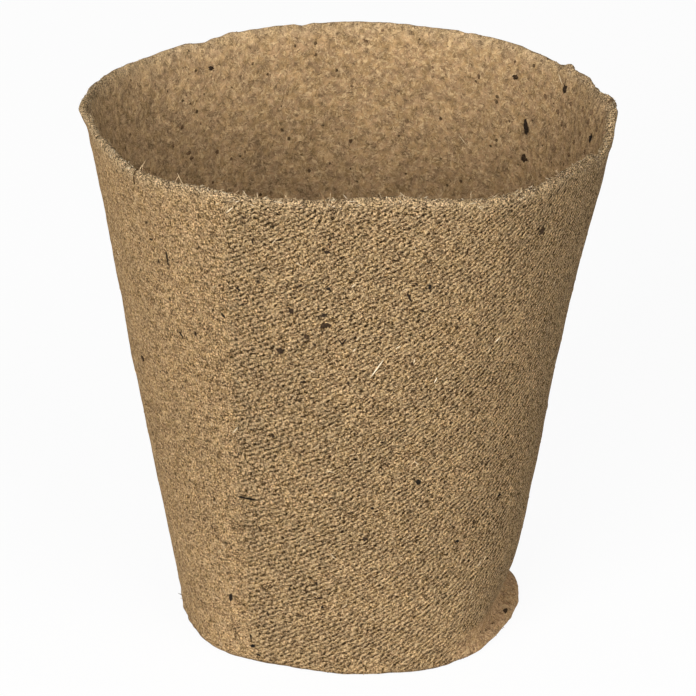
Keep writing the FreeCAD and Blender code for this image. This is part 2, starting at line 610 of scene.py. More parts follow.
row_offset = 0.37
stitch_swell = 0.22
mean_level = 0.39
stroke_stretch = (1.0, 2.9, 1.0)
shifted = swayed(given.outputs["Place"], 0.5, given.outputs["Sway"])
shifted = swayed(shifted, 1.5, given.outputs["Unevenness"])
back_turn = multiply(imprint_group, given.outputs["Row Angle"], -1.0)
turned = add_node(
    imprint_group,
    "ShaderNodeVectorRotate",
    (("Vector", shifted), ("Angle", back_turn)),
    rotation_type="Z_AXIS",
).outputs[0]
split = add_node(imprint_group, "ShaderNodeSeparateXYZ", ((0, turned),))
row = calculate(imprint_group, "DIVIDE", split.outputs[1], given.outputs["Row Pitch"])
row_number = calculate(imprint_group, "ROUND", row)
stitch = calculate(imprint_group, "DIVIDE", split.outputs[0], given.outputs["Stitch Length"])
stitch = calculate(imprint_group, "MULTIPLY_ADD", row_number, row_offset, stitch)
stitch_turn = multiply(imprint_group, stitch, math.tau)
leaning = calculate(imprint_group, "SINE", stitch_turn)
leaning = multiply(imprint_group, leaning, given.outputs["Slant"])
leaning = calculate(imprint_group, "DIVIDE", leaning, given.outputs["Row Pitch"])
row_turn = calculate(imprint_group, "SUBTRACT", row, leaning)
row_turn = multiply(imprint_group, row_turn, math.tau)
ridge = calculate(imprint_group, "COSINE", row_turn)
ridge = calculate(imprint_group, "MULTIPLY_ADD", ridge, 0.5, 0.5)
swell = calculate(imprint_group, "COSINE", stitch_turn)
swell = calculate(imprint_group, "MULTIPLY_ADD", swell, stitch_swell, 1.0 - stitch_swell)
level = multiply(imprint_group, ridge, swell)
level = calculate(imprint_group, "SUBTRACT", level, mean_level)
imprint_group.links.new(level, result.inputs["Height"])
drawn_out = vector_math(imprint_group, "MULTIPLY", turned, stroke_stretch)
strokes = cloth_noise(drawn_out, 1.6, 2.0, 0.7).outputs[0]
imprint_group.links.new(calculate(imprint_group, "SUBTRACT", strokes, 0.5), result.inputs["Strokes"])

# Felt of peat and wood fibre: blotched ground, coarse and fine grain, curly fibres both pale and
# dark, and dark flecks. Its height is in mm about nought. The colour is darkened in the hollows of
# that height as a painted shadow, and paled on its raised parts as a painted highlight.
felt_group, given, result = new_group(
    "peat felt",
    (
        ("Place", "NodeSocketVector", None),
        ("Ground", "NodeSocketColor", (0.34, 0.215, 0.11, 1.0)),
        ("Straw", "NodeSocketColor", (0.60, 0.43, 0.23, 1.0)),
        ("Bark", "NodeSocketColor", (0.06, 0.035, 0.018, 1.0)),
        ("Grain", "NodeSocketFloat", 1.0),
        ("Blotch", "NodeSocketFloat", 1.0),
        ("Extra Height", "NodeSocketFloat", 0.0),
    ),
    (("Color", "NodeSocketColor"), ("Height", "NodeSocketFloat")),
)


def felt_noise(scale, detail, roughness=0.5, shift=0.0, distortion=0.0):
    """Noise over the felt, by its number of grains per mm."""
    source = vector_math(felt_group, "ADD", given.outputs["Place"], (shift, shift, shift))
    pairs = (
        ("Vector", source),
        ("Scale", scale),
        ("Detail", detail),
        ("Roughness", roughness),
        ("Distortion", distortion),
    )
    return add_node(felt_group, "ShaderNodeTexNoise", pairs, noise_dimensions="3D").outputs[0]


def mix_colors(tree, factor, first, second, blend="MIX"):
    """Colour between two others."""
    pairs = ((0, factor), (6, first), (7, second))
    return add_node(tree, "ShaderNodeMix", pairs, data_type="RGBA", blend_type=blend).outputs[2]


def rescale(tree, value, low, high, to_low=0.0, to_high=1.0):
    """Value carried from one range to another, held at its ends."""
    pairs = (("Value", value), ("From Min", low), ("From Max", high), ("To Min", to_low), ("To Max", to_high))
    return add_node(tree, "ShaderNodeMapRange", pairs).outputs[0]


def grey(tree, value):
    """Grey of a value, to multiply a colour by."""
    return add_node(tree, "ShaderNodeCombineColor", ((0, value), (1, value), (2, value))).outputs[0]


def fibres(scale, shift, half_width):
    """Broken curly lines where a noise passes its middle."""
    field = felt_noise(scale, 1.0, 0.4, shift, 0.6)
    away = calculate(felt_group, "ABSOLUTE", calculate(felt_group, "SUBTRACT", field, 0.5))
    line = rescale(felt_group, away, half_width, 0.0)
    gaps = rescale(felt_group, felt_noise(scale * 0.9, 0.0, 0.5, shift + 31.0), *fibre_gaps)
    return multiply(felt_group, line, gaps)


fibre_gaps = (0.44, 0.54)
fleck_chance = 0.08
fleck_least_size = 0.12
fleck_extra_size = 0.20
yellow_peat = (0.52, 0.33, 0.10, 1.0)
yellow_share = 0.16
# Straw tint laid on raised relief: a painted highlight.
painted_highlight_straw = (0.66, 0.50, 0.295, 1.0)
painted_highlight_share = 0.55

# Ranges of a noise, or of the height in mm, and the shades that go with their two ends.
blotch_shades = (0.34, 0.66, -0.22, 0.22)
wide_shades = (0.3, 0.7, -0.08, 0.08)
# The hollows of the height darken the colour: a painted shadow.
painted_shadow_range = (-0.21, 0.21, 0.10, 1.80)
speck_shades = (0.36, 0.64, -0.9, 0.85)
yellow_range = (0.4, 0.62)
# Raised relief is paled towards straw: a painted highlight.
painted_highlight_range = (0.02, 0.24)

wide = felt_noise(0.10, 2.0, 0.5, 7.0)
blotch = felt_noise(0.45, 2.0, 0.6)
patch = felt_noise(0.95, 1.0, 0.5, 17.0)
grain = felt_noise(3.0, 2.0, 0.7, 3.0)
fine = felt_noise(4.0, 2.0, 0.8, 11.0)
pale_fibre = calculate(felt_group, "MAXIMUM", fibres(0.8, 5.0, 0.035), fibres(1.3, 41.0, 0.05))
pale_fibre = calculate(felt_group, "MAXIMUM", pale_fibre, fibres(1.9, 91.0, 0.075))
dark_fibre = fibres(1.1, 71.0, 0.045)

cells = add_node(
    felt_group,
    "ShaderNodeTexVoronoi",
    (("Vector", given.outputs["Place"]), ("Scale", 0.9), ("Randomness", 1.0)),
    voronoi_dimensions="3D",
    feature="F1",
)
chance = add_node(felt_group, "ShaderNodeSeparateColor", ((0, cells.outputs["Color"]),))
is_fleck = calculate(felt_group, "LESS_THAN", chance.outputs[0], fleck_chance)
fleck_size = calculate(felt_group, "MULTIPLY_ADD", chance.outputs[1], fleck_extra_size, fleck_least_size)
ragged_edge = calculate(felt_group, "MULTIPLY_ADD", grain, 0.35, -0.175)
fleck_reach = calculate(felt_group, "SUBTRACT", fleck_size, cells.outputs["Distance"])
fleck_reach = calculate(felt_group, "ADD", fleck_reach, ragged_edge)
fleck = multiply(felt_group, rescale(felt_group, fleck_reach, 0.0, 0.07), is_fleck)


def zero_mean(value, size):
    """Noise about nought, at a size in mm."""
    return calculate(felt_group, "MULTIPLY_ADD", value, size, -0.5 * size)


def grained(value, size):
    """Noise about nought, at a size in mm that follows the group's grain."""
    return multiply(felt_group, zero_mean(value, size), given.outputs["Grain"])


relief = given.outputs["Extra Height"]
for part in (
    grained(grain, 0.46),
    grained(fine, 1.25),
    zero_mean(patch, 0.20),
    multiply(felt_group, pale_fibre, 0.09),
    multiply(felt_group, dark_fibre, -0.05),
    multiply(felt_group, fleck, -0.12),
):
    relief = calculate(felt_group, "ADD", relief, part)
felt_group.links.new(relief, result.inputs["Height"])

blotched = calculate(felt_group, "MULTIPLY_ADD", blotch, 0.6, multiply(felt_group, patch, 0.4))
blotched = rescale(felt_group, blotched, *blotch_shades)
mottle = calculate(felt_group, "MULTIPLY_ADD", blotched, given.outputs["Blotch"], 1.0)
mottle = calculate(felt_group, "ADD", mottle, rescale(felt_group, wide, *wide_shades))
ground = mix_colors(felt_group, 1.0, given.outputs["Ground"], grey(felt_group, mottle), "MULTIPLY")
yellow = rescale(felt_group, felt_noise(0.7, 1.0, 0.5, 23.0), *yellow_range)
ground = mix_colors(felt_group, multiply(felt_group, yellow, yellow_share), ground, yellow_peat)
# Painted shadow in the relief's hollows, then a painted highlight on its raised parts.
painted_hollow_shadow = rescale(felt_group, relief, *painted_shadow_range)
ground = mix_colors(felt_group, 1.0, ground, grey(felt_group, painted_hollow_shadow), "MULTIPLY")
raised = multiply(felt_group, rescale(felt_group, relief, *painted_highlight_range), painted_highlight_share)
ground = mix_colors(felt_group, raised, ground, painted_highlight_straw)
speck = rescale(felt_group, fine, *speck_shades)
speck = calculate(felt_group, "MULTIPLY_ADD", speck, given.outputs["Grain"], 1.0)
ground = mix_colors(felt_group, 1.0, ground, grey(felt_group, speck), "MULTIPLY")
for mask, strength, color in ((pale_fibre, 0.5, "Straw"), (dark_fibre, 0.45, "Bark"), (fleck, 0.8, "Bark")):
    covered = multiply(felt_group, mask, strength)
    ground = mix_colors(felt_group, covered, ground, given.outputs[color])
felt_group.links.new(ground, result.inputs["Color"])


def new_material(name):
    """Empty node material with its shader, and the tree to fill."""
    made = bpy.data.materials.new(name)
    made.use_nodes = True
    tree = made.node_tree
    shader = tree.nodes["Principled BSDF"]
    shader.inputs["Roughness"].default_value = 0.95
    shader.inputs["Specular IOR Level"].default_value = 0.04
    return made, tree, shader


def add_group(tree, group, inputs):
    """Places a shared group in a material."""
    return add_node(tree, "ShaderNodeGroup", inputs, node_tree=group)


def painted(tree, name):
    """Value that the mesh carries under a name."""
    return add_node(tree, "ShaderNodeAttribute", attribute_name=name).outputs["Fac"]


def object_millimetres(tree):
    """Object coordinates in mm."""
    coordinates = add_node(tree, "ShaderNodeTexCoord").outputs["Object"]
    return vector_math(tree, "MULTIPLY", coordinates, (1000.0, 1000.0, 1000.0))


def add_relief(tree, shader, height):
    """Bumps the shader by a height in mm."""
    bump = add_node(tree, "ShaderNodeBump", (("Strength", 1.0), ("Distance", mm), ("Height", height)))
    tree.links.new(bump.outputs[0], shader.inputs["Normal"])


def blend_values(tree, factor, first, second):
    """Value between two others."""
    pairs = ((0, factor), (2, first), (3, second))
    return add_node(tree, "ShaderNodeMix", pairs, data_type="FLOAT").outputs[0]


# Lighter colour for the inside's left: painted light on the side that the lamps leave in shade.
painted_light_peat = (0.385, 0.25, 0.133, 1.0)
inside_peat = (0.318, 0.20, 0.104, 1.0)
# Lighter colour for the outside low down: painted bounce light from the floor.
bounce_lit_peat = (0.310, 0.190, 0.091, 1.0)
outside_peat = (0.276, 0.165, 0.076, 1.0)
ledge_peat = (0.35, 0.21, 0.108, 1.0)
# Paler colour of the torn rim: partly its own pale torn fibre, partly painted light from above.
torn_and_lit_peat = (0.50, 0.36, 0.21, 1.0)
stroke_share = 2.1
ledge_grain = 0.25
inside_blotch = 1.15
outside_blotch = 0.45

# Ranges of a noise, or of a place in mm, and the shares that go with their two ends.
print_by_wear = (0.3, 0.7, 0.27, 0.46)
inside_grain_by_depth = (-10.0, 28.0, 0.40, 0.07)
crest_grain_by_depth = (-5.0, 25.0, 0.95, 0.25)
outside_grain_by_side = (-37.0, -18.0, 0.42, 0.85)
outside_grain_by_height = (6.0, 26.0, 0.72, 1.0)
# The torn rim is paler at the left, towards the key lamp: painted light.
torn_and_lit_share_by_side = (-36.0, -20.0, 0.6, 0.4)
painted_light_sides = (-36.0, -8.0)
bounce_lit_heights = (6.0, 26.0)

wall_felt, tree, shader = new_material("wall felt")
cloth = add_node(tree, "ShaderNodeUVMap", uv_map="cloth").outputs[0]
printed = painted(tree, "imprint")
torn = painted(tree, "torn")
at_ledge = painted(tree, "ledge")
outward = painted(tree, "outward")
imprint = add_group(tree, imprint_group, (("Place", cloth),))
worn = add_node(
    tree, "ShaderNodeTexNoise", (("Vector", cloth), ("Scale", 0.16), ("Detail", 2.0)), noise_dimensions="2D"
).outputs[0]
print_strength = multiply(tree, printed, rescale(tree, worn, *print_by_wear))
strokes = multiply(tree, imprint.outputs["Strokes"], stroke_share)
print_height = calculate(tree, "ADD", imprint.outputs["Height"], strokes)
print_height = multiply(tree, print_height, print_strength)
place = object_millimetres(tree)
to_side, toward_back, upward = add_node(tree, "ShaderNodeSeparateXYZ", ((0, place),)).outputs
inside_grain = rescale(tree, toward_back, *inside_grain_by_depth)
outside_grain = rescale(tree, to_side, *outside_grain_by_side)
outside_grain = multiply(tree, outside_grain, rescale(tree, upward, *outside_grain_by_height))
grain_share = blend_values(tree, outward, inside_grain, outside_grain)
grain_share = blend_values(tree, at_ledge, grain_share, ledge_grain)
crest_grain = multiply(tree, torn, rescale(tree, toward_back, *crest_grain_by_depth))
grain_share = calculate(tree, "MAXIMUM", grain_share, crest_grain)
# The inside is coloured lighter towards its left: painted light.
inner_ground = mix_colors(tree, rescale(tree, to_side, *painted_light_sides), painted_light_peat, inside_peat)
# The outside is coloured lighter low down: painted bounce light from the floor.
outer_ground = mix_colors(tree, rescale(tree, upward, *bounce_lit_heights), bounce_lit_peat, outside_peat)
ground = mix_colors(tree, outward, inner_ground, outer_ground)
ground = mix_colors(tree, at_ledge, ground, ledge_peat)
# The torn rim is paled, more at the left: its own pale fibre and painted light from above.
torn_and_lit_share = multiply(tree, torn, rescale(tree, to_side, *torn_and_lit_share_by_side))
ground = mix_colors(tree, torn_and_lit_share, ground, torn_and_lit_peat)
felt = add_group(
    tree,
    felt_group,
    (
        ("Place", place),
        ("Ground", ground),
        ("Grain", grain_share),
        ("Blotch", blend_values(tree, outward, inside_blotch, outside_blotch)),
        ("Extra Height", print_height),
    ),
)
tree.links.new(felt.outputs["Color"], shader.inputs["Base Color"])
add_relief(tree, shader, felt.outputs["Height"])
wall.data.materials.append(wall_felt)


# The base disc: a round felted disc that closes the foot. The wall laps its rounded edge, which shows
# as a plain reddish ledge where the wall's foot is pressed in. One torn drainage hole is in its middle.
disc_columns = 300
disc_across_cuts = 60
disc_edge_cuts = 9
disc_hole_cuts = 5
disc_round = 1.0 * mm
drain_radius = 4.0 * mm
hole_tears = ((2.4 * mm, 0.25 * mm), (0.9 * mm, 0.18 * mm))
unit_hole = 0.2
disc_peat = (0.40, 0.255, 0.132, 1.0)

disc_shape = turned_outline(
    ((unit_hole, 0.0, 0.0), (1.0, 0.0, 0.0), (1.0, 0.0, 1.0), (unit_hole, 0.0, 1.0)),
    (disc_across_cuts, disc_edge_cuts, disc_across_cuts, disc_hole_cuts),
    disc_columns,
)
under_layer = disc_shape.verts.layers.float.new("imprint")
disc_edges = {}
for vert in disc_shape.verts:
    angle = math.atan2(vert.co.y, vert.co.x)
    column = round(angle / math.tau * disc_columns) % disc_columns
    share = (vert.co.xy.length - unit_hole) / (1.0 - unit_hole)
    level = vert.co.z
    if column not in disc_edges:
        edge = disc_edge(angle)
        disc_edges[column] = edge + ragged(polar(angle, edge, 0.5 * disc_top_height), lumps_outside)
    edge = disc_edges[column]
    hole = drain_radius + ragged(polar(angle, drain_radius, level * disc_top_height), hole_tears)
    radius = hole + share * (edge - hole)
    height = level * disc_top_height
    up = 2.0 * level - 1.0
    out = (radius - (edge - disc_round)) / disc_round
    if out > 0.0:
        shrink = max(abs(out), abs(up)) / max(math.hypot(out, up), 1e-6)
        radius = edge - disc_round + disc_round * out * shrink
        height = 0.5 * disc_top_height * (1.0 + up * shrink)
    if up > 0.0:
        height += up * ragged(polar(angle, radius, height), lumps_inside)
    vert[under_layer] = 1.0 if up < -0.9 and out < 0.3 else 0.0
    vert.co = polar(angle, radius, max(height, 0.0))

disc = finished_object(disc_shape, "base_disc_felt")
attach(disc, "root")
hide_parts("base_disc")

disc_felt, tree, shader = new_material("base felt")
place = object_millimetres(tree)
imprint = add_group(tree, imprint_group, (("Place", place),))
printed = painted(tree, "imprint")
print_strength = multiply(tree, printed, 0.25)
print_height = multiply(tree, imprint.outputs["Height"], print_strength)
felt = add_group(
    tree,
    felt_group,
    (
        ("Place", place),
        ("Ground", disc_peat),
        ("Grain", blend_values(tree, printed, 0.45, 1.0)),
        ("Extra Height", print_height),
    ),
)
tree.links.new(felt.outputs["Color"], shader.inputs["Base Color"])
add_relief(tree, shader, felt.outputs["Height"])
disc.data.materials.append(disc_felt)


# Loose fibre on the wall: slivers of straw and root felted half into both faces, and the torn ends
# that stand out of the rim. Each is a thin bent stalk that tapers to its tips, pale or brown.
fibre_sides = 4
fibre_cuts = 3
sliver_count = 1100
sliver_least_thickness = 0.09 * mm
sliver_extra_thickness = 0.07 * mm
sliver_least_length = 0.5 * mm
sliver_extra_length = 1.4 * mm
sunk_share = 0.35
pale_share = 0.62
pale_tones = (0.5, 0.8)
dark_tones = (0.0, 0.3)
inside_tone = 0.35
rim_fibre_count = 1500
rim_fibre_length = 0.3 * mm
rim_fibre_spread = 0.1 * mm
front_fibre_length = 1.1 * mm
rim_fibre_thickness = (0.07 * mm, 0.13 * mm)
rim_pale_share = 0.7
rim_pale_tones = (0.55, 0.95)
rim_dark_tones = (0.05, 0.4)
back_bare_share = 0.75
foot_fibre_count = 60
foot_fibre_thickness = (0.08 * mm, 0.14 * mm)
foot_fibre_reach = (0.2 * mm, 0.45 * mm)
foot_fibre_curl = 0.2 * mm
foot_fibre_root = 0.15 * mm
foot_fibre_clearance = 0.1 * mm
inside_stand_height = 30.0 * mm
random.seed(11)

pattern_shape = bmesh.new()
bmesh.ops.create_cone(
    pattern_shape,
    cap_ends=True,
    segments=fibre_sides,
    radius1=1.0,
    radius2=1.0,
    depth=1.0,
    matrix=Matrix.Translation((0.0, 0.0, 0.5)),
)
lengthwise = [edge for edge in pattern_shape.edges if abs(edge.verts[0].co.z - edge.verts[1].co.z) > 0.5]
bmesh.ops.subdivide_edges(pattern_shape, edges=lengthwise, cuts=fibre_cuts)
pattern_size = len(pattern_shape.verts)
fibre_pattern = bpy.data.meshes.new("fibre_pattern")
pattern_shape.to_mesh(fibre_pattern)
pattern_shape.free()


def lay_fibre(shape, corners, thickness, tone, taper_share=0.75):
    """Adds a fibre to a mesh, along a cubic curve through four corners, thinner towards its tips."""
    shape.from_mesh(fibre_pattern)
    shape.verts.ensure_lookup_table()
    tone_layer = shape.verts.layers.float["tone"]
    for vert in shape.verts[-pattern_size:]:
        share = vert.co.z
        back = 1.0 - share
        middle = curve_point(corners, share)
        heading = (corners[1] - corners[0]) * back * back + (corners[3] - corners[2]) * share * share
        heading += (corners[2] - corners[1]) * 2.0 * back * share
        turn = heading.to_track_quat("Z", "Y")
        swell = 1.0 - taper_share * abs(2.0 * share - 1.0) ** 2
        vert.co = middle + turn @ Vector((vert.co.x, vert.co.y, 0.0)) * (0.5 * thickness * swell)
        vert.co.z = max(vert.co.z, 0.0)
        vert[tone_layer] = tone


def scattered(direction, amount):
    """Unit direction, turned about at random by an amount."""
    swing = Vector((random.gauss(0.0, 1.0), random.gauss(0.0, 1.0), random.gauss(0.0, 1.0)))
    return (direction + swing * amount).normalized()


def lie_along(stand, normal, length, depth_share, thickness):
    """Corners of a fibre that lies bent on the felt at a stand, partly sunk in it."""
    heading = scattered(normal.orthogonal(), 0.8)
    heading = (heading - normal * heading.dot(normal)).normalized()
    heading.rotate(Matrix.Rotation(random.uniform(0.0, math.tau), 3, normal))
    beside = normal.cross(heading) * random.uniform(-0.25, 0.25) * length
    middle = stand + normal * thickness * (0.5 - depth_share)
    dip = normal * -0.5 * thickness
    return (
        middle - heading * 0.5 * length + dip,
        middle - heading * 0.17 * length + beside,
        middle + heading * 0.17 * length + beside,
        middle + heading * 0.5 * length + dip,
    )


def new_piece(shape, name, material):
    """Makes a mesh the finished object of a piece that rides with the pot."""
    made = finished_object(shape, name)
    made.data.materials.append(material)
    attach(made, "root")


def toned_material(name, end_colors, between, grain, shades, relief_size):
    """Material of loose bits: coloured by the tone that their mesh carries, from the first of the end
    colours to the last by way of those between, mottled by a grain and raised a little by it."""
    made, tree, shader = new_material(name)
    pairs = (("Vector", object_millimetres(tree)), ("Scale", grain[0]), ("Detail", grain[1]))
    mottle = add_node(tree, "ShaderNodeTexNoise", pairs).outputs[0]
    ramp = add_node(tree, "ShaderNodeValToRGB", ((0, painted(tree, "tone")),))
    for element, color in zip(ramp.color_ramp.elements, end_colors):
        element.color = color
    for position, color in between:
        ramp.color_ramp.elements.new(position).color = color
    mottled = grey(tree, rescale(tree, mottle, 0.3, 0.7, *shades))
    color = mix_colors(tree, 1.0, ramp.outputs[0], mottled, "MULTIPLY")
    tree.links.new(color, shader.inputs["Base Color"])
    add_relief(tree, shader, multiply(tree, mottle, relief_size))
    return made


straw_fibre = toned_material(
    "straw fibre",
    ((0.05, 0.028, 0.012, 1.0), (0.78, 0.66, 0.47, 1.0)),
    ((0.35, (0.24, 0.145, 0.07, 1.0)), (0.7, (0.56, 0.42, 0.25, 1.0))),
    grain=(5.0, 2.0),
    shades=(0.7, 1.25),
    relief_size=0.05,
)

outward_of = wall.data.attributes["outward"].data
torn_of = wall.data.attributes["torn"].data
outside_stands = []
inside_stands = []
rim_stands = []
foot_stands = []
for vert in wall.data.vertices:
    if torn_of[vert.index].value > 0.8:
        rim_stands.append(vert)
    elif outward_of[vert.index].value > 0.5:
        outside_stands.append(vert)
        if vert.co.z < foot_tear_height:
            foot_stands.append(vert)
    elif vert.co.z > inside_stand_height:
        inside_stands.append(vert)

# The slivers that stand out in the picture, by the pixels of their two ends, and their tone.
sliver_pixels = (
    ((370.4, 377.5), (383.5, 359.5), 0.95),
    ((395.4, 348.8), (401.0, 345.4), 0.8),
    ((352.8, 351.6), (355.8, 348.2), 0.85),
    ((356.3, 340.5), (359.0, 337.0), 0.75),
    ((351.4, 287.3), (355.8, 283.4), 0.8),
    ((413.6, 363.4), (414.8, 358.6), 0.8),
    ((495.0, 342.0), (500.0, 337.0), 0.9),
    ((434.0, 383.0), (437.0, 377.0), 0.9),
    ((233.0, 433.0), (238.0, 427.0), 0.9),
    ((558.8, 73.5), (562.4, 84.5), 0.75),
    ((459.0, 135.0), (468.0, 146.5), 0.7),
    ((233.0, 207.0), (226.0, 213.0), 0.85),
)
sliver_thickness = 0.22 * mm
felt_tree = surface_tree(wall.data)
sliver_shape = bmesh.new()
sliver_shape.verts.layers.float.new("tone")
for first_pixel, last_pixel, tone in sliver_pixels:
    corners = []
    for share in (0.0, 0.35, 0.65, 1.0):
        across = first_pixel[0] + (last_pixel[0] - first_pixel[0]) * share
        down = first_pixel[1] + (last_pixel[1] - first_pixel[1]) * share
        stand, normal, _, _ = felt_tree.ray_cast(*pixel_ray((across, down)))
        corners.append(stand + normal * 0.25 * sliver_thickness)
    lay_fibre(sliver_shape, corners, sliver_thickness, tone)
for index in range(sliver_count):
    inside = index % 5 == 0
    vert = random.choice(inside_stands if inside else outside_stands)
    size = random.uniform(0.0, 1.0)
    thickness = sliver_least_thickness + sliver_extra_thickness * size * size
    length = sliver_least_length + sliver_extra_length * size**3
    pale = random.uniform(0.0, 1.0) < pale_share
    tone = random.uniform(*(pale_tones if pale else dark_tones))
    if inside:
        tone = inside_tone + 0.5 * (tone - inside_tone)
    corners = lie_along(vert.co, vert.normal, length, sunk_share, thickness)
    lay_fibre(sliver_shape, corners, thickness, tone)
for index in range(foot_fibre_count):
    vert = random.choice(foot_stands)
    thickness = random.uniform(*foot_fibre_thickness)
    reach = scattered(vert.normal + Vector((0.0, 0.0, 0.3)), 0.5) * random.uniform(*foot_fibre_reach)
    curl = scattered(vert.normal, 1.0) * foot_fibre_curl
    start = vert.co - vert.normal * foot_fibre_root
    if (start + reach).z < foot_fibre_clearance:
        reach.z = abs(reach.z)
    corners = (start, start + reach * 0.4, start + reach * 0.7 + curl * 0.5, start + reach)
    lay_fibre(sliver_shape, corners, thickness, random.uniform(0.2, 0.8))
new_piece(sliver_shape, "straw_slivers", straw_fibre)

rim_shape = bmesh.new()
rim_shape.verts.layers.float.new("tone")
for index in range(rim_fibre_count):
    vert = random.choice(rim_stands)
    toward_back = max(vert.co.y / vert.co.xy.length, 0.0)
    if random.uniform(0.0, 1.0) < back_bare_share * toward_back:
        continue
    size = random.uniform(0.0, 1.0) ** 2
    thickness = random.uniform(*rim_fibre_thickness)
    toward_front = max(-vert.co.y / vert.co.xy.length, 0.0)
    length = rim_fibre_length + rim_fibre_spread * size
    length += front_fibre_length * size * toward_front**1.5
    around = Vector((-vert.co.y, vert.co.x, 0.0)).normalized() * random.choice((-1.0, 1.0))
    heading = scattered(vert.normal * (0.12 - 0.07 * toward_back) + around, 0.35 - 0.15 * toward_back)
    curl = scattered(vert.normal, 0.9) * (0.35 - 0.25 * toward_back) * length
    start = vert.co - vert.normal * 0.5 * thickness - heading * 0.15 * length
    corners = (start, start + heading * 0.4 * length, start + heading * 0.7 * length + curl * 0.5)
    corners += (start + heading * length + curl,)
    pale = random.uniform(0.0, 1.0) < rim_pale_share
    tone = random.uniform(*(rim_pale_tones if pale else rim_dark_tones))
    lay_fibre(rim_shape, corners, thickness, tone)
new_piece(rim_shape, "rim_fibres", straw_fibre)


# Single hairs that stand clear of the rim: fine root ends, one of them curled to a loop, and one tuft.
# Each is written as pixels of the picture: where it leaves the felt, then where it goes.
hair_pixels = (
    ((134.5, 184.0), (134.0, 178.0), (134.0, 173.0), (138.0, 170.0)),
    ((138.0, 170.0), (141.0, 167.5), (145.0, 168.0), (150.0, 171.0)),
    ((143.0, 172.0), (142.0, 168.0), (143.0, 165.0), (146.0, 160.0)),
    ((139.0, 172.0), (140.0, 169.0), (141.0, 167.0), (144.0, 164.0)),
    ((184.0, 186.0), (181.5, 182.0), (179.5, 178.0), (178.0, 174.0)),
    ((175.0, 183.0), (176.0, 180.0), (178.0, 178.0), (178.5, 176.0)),
    ((326.0, 206.0), (324.0, 201.0), (325.0, 198.0), (321.0, 194.0)),
    ((328.0, 206.0), (329.0, 200.0), (331.0, 198.0), (330.0, 193.0)),
    ((331.0, 207.0), (333.0, 204.0), (336.0, 204.0), (339.0, 200.0)),
)
hair_clearance = 0.22 * mm
hair_taper_share = 0.4
# Thickness in mm and tone of each hair.
hair_looks = (
    (0.32, 0.0),
    (0.26, 0.1),
    (0.12, 0.5),
    (0.14, 0.6),
    (0.12, 0.6),
    (0.12, 0.5),
    (0.16, 0.3),
    (0.13, 0.5),
    (0.2, 0.15),
)

hair_shape = bmesh.new()
hair_shape.verts.layers.float.new("tone")
for pixels, (thickness, tone) in zip(hair_pixels, hair_looks):
    root = felt_tree.ray_cast(*pixel_ray(pixels[0]))[0]
    corners = []
    for pixel in pixels:
        across = (pixel[0] - pixels[0][0]) * pixel_size
        rise = (pixels[0][1] - pixel[1]) * pixel_size
        stand = root + view_right * across + view_up * rise
        seen_behind = felt_tree.ray_cast(*pixel_ray(pixel))[0] or root
        nearer = max((seen_behind - stand).dot(view_back), 0.0)
        corners.append(stand + view_back * (nearer + hair_clearance))
    lay_fibre(hair_shape, corners, thickness * mm, tone, hair_taper_share)
new_piece(hair_shape, "loose_hairs", straw_fibre)


